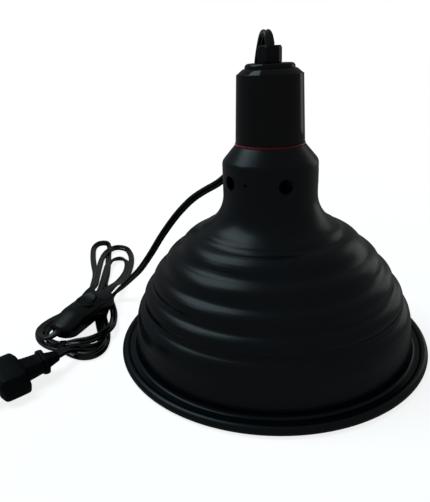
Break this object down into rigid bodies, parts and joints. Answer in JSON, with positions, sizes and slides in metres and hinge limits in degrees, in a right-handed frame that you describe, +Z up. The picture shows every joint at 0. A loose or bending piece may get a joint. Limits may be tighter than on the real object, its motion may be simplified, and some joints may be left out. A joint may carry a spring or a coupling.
{
  "type": "heat lamp fixture",
  "caption": "Ribbed dome heat lamp with a vented neck, a screw lampholder in a capped case, and a flat cord with an in-line rocker switch and a plug.",
  "frame": {"origin": "centre of the rim, on the table", "axes": "+Z up along the lamp axis, -Y to the viewer's side, +X to the right as the picture shows it"},
  "size_m": [0.305, 0.297, 0.2095],
  "materials": {
    "shade_paint": "matt black heat-proof paint on spun aluminium",
    "red_silicone": "soft red silicone",
    "case_gloss": "glossy black moulding",
    "grip_black": "satin black moulding",
    "soft_black": "soft black rubber",
    "zinc_steel": "zinc-plated steel",
    "porcelain": "dark glazed porcelain",
    "brass": "bright brass",
    "core_brown": "plain core insulation",
    "cord_black": "black flexible sheath",
    "switch_black": "satin black moulding",
    "plug_black": "satin black flexible moulding",
    "nickel": "nickel-plated brass"
  },
  "bodies": {
    "fixture": {"dome_shade": "shade_paint", "seal_ring": "red_silicone", "socket_case": "case_gloss", "case_cap": "case_gloss", "gland_nut": "grip_black", "gland_collet": "soft_black", "gland_stem": "zinc_steel", "lock_nut": "zinc_steel", "lampholder_body": "porcelain", "screw_shell": "brass", "centre_contact": "brass", "contact_rivets": "brass", "terminal_blocks": "brass", "terminal_screws": "zinc_steel", "shade_ring": "zinc_steel", "core_leads": "core_brown", "cord_inlet": "cord_black", "cord_lead": "cord_black", "cord_hank": "cord_black", "cord_tail": "cord_black", "cord_switch_far": "cord_black", "cord_switch_near": "cord_black", "hank_tie": "soft_black", "switch_base": "switch_black", "switch_cover": "switch_black", "fulcrum_terminal": "brass", "contact_terminal": "brass", "switch_terminal_screws": "zinc_steel", "switch_cores": "core_brown", "switch_screws": "zinc_steel", "plug_body": "plug_black", "plug_blades": "nickel"},
    "rocker": {"switch_rocker": "switch_black", "rocker_plunger": "zinc_steel", "rocker_spring": "zinc_steel"},
    "lever": {"contact_lever": "brass"}
  },
  "joints": [
    {"name": "rocker_pivot", "type": "hinge", "parent": "fixture", "child": "rocker", "pos_m": [-0.1443, 0.01839, 0.01445], "axis": [-0.9467, 0.2714, 0.1736], "range_deg": [0, 24]},
    {"name": "lever_pivot", "type": "hinge", "parent": "fixture", "child": "lever", "pos_m": [-0.14536, 0.01869, 0.00815], "axis": [-0.9467, 0.2714, 0.1736], "range_deg": [-16, 0]}
  ],
  "couplings": [
    {"joint": "lever_pivot", "follows": "rocker_pivot", "ratio": -0.66667}
  ]
}
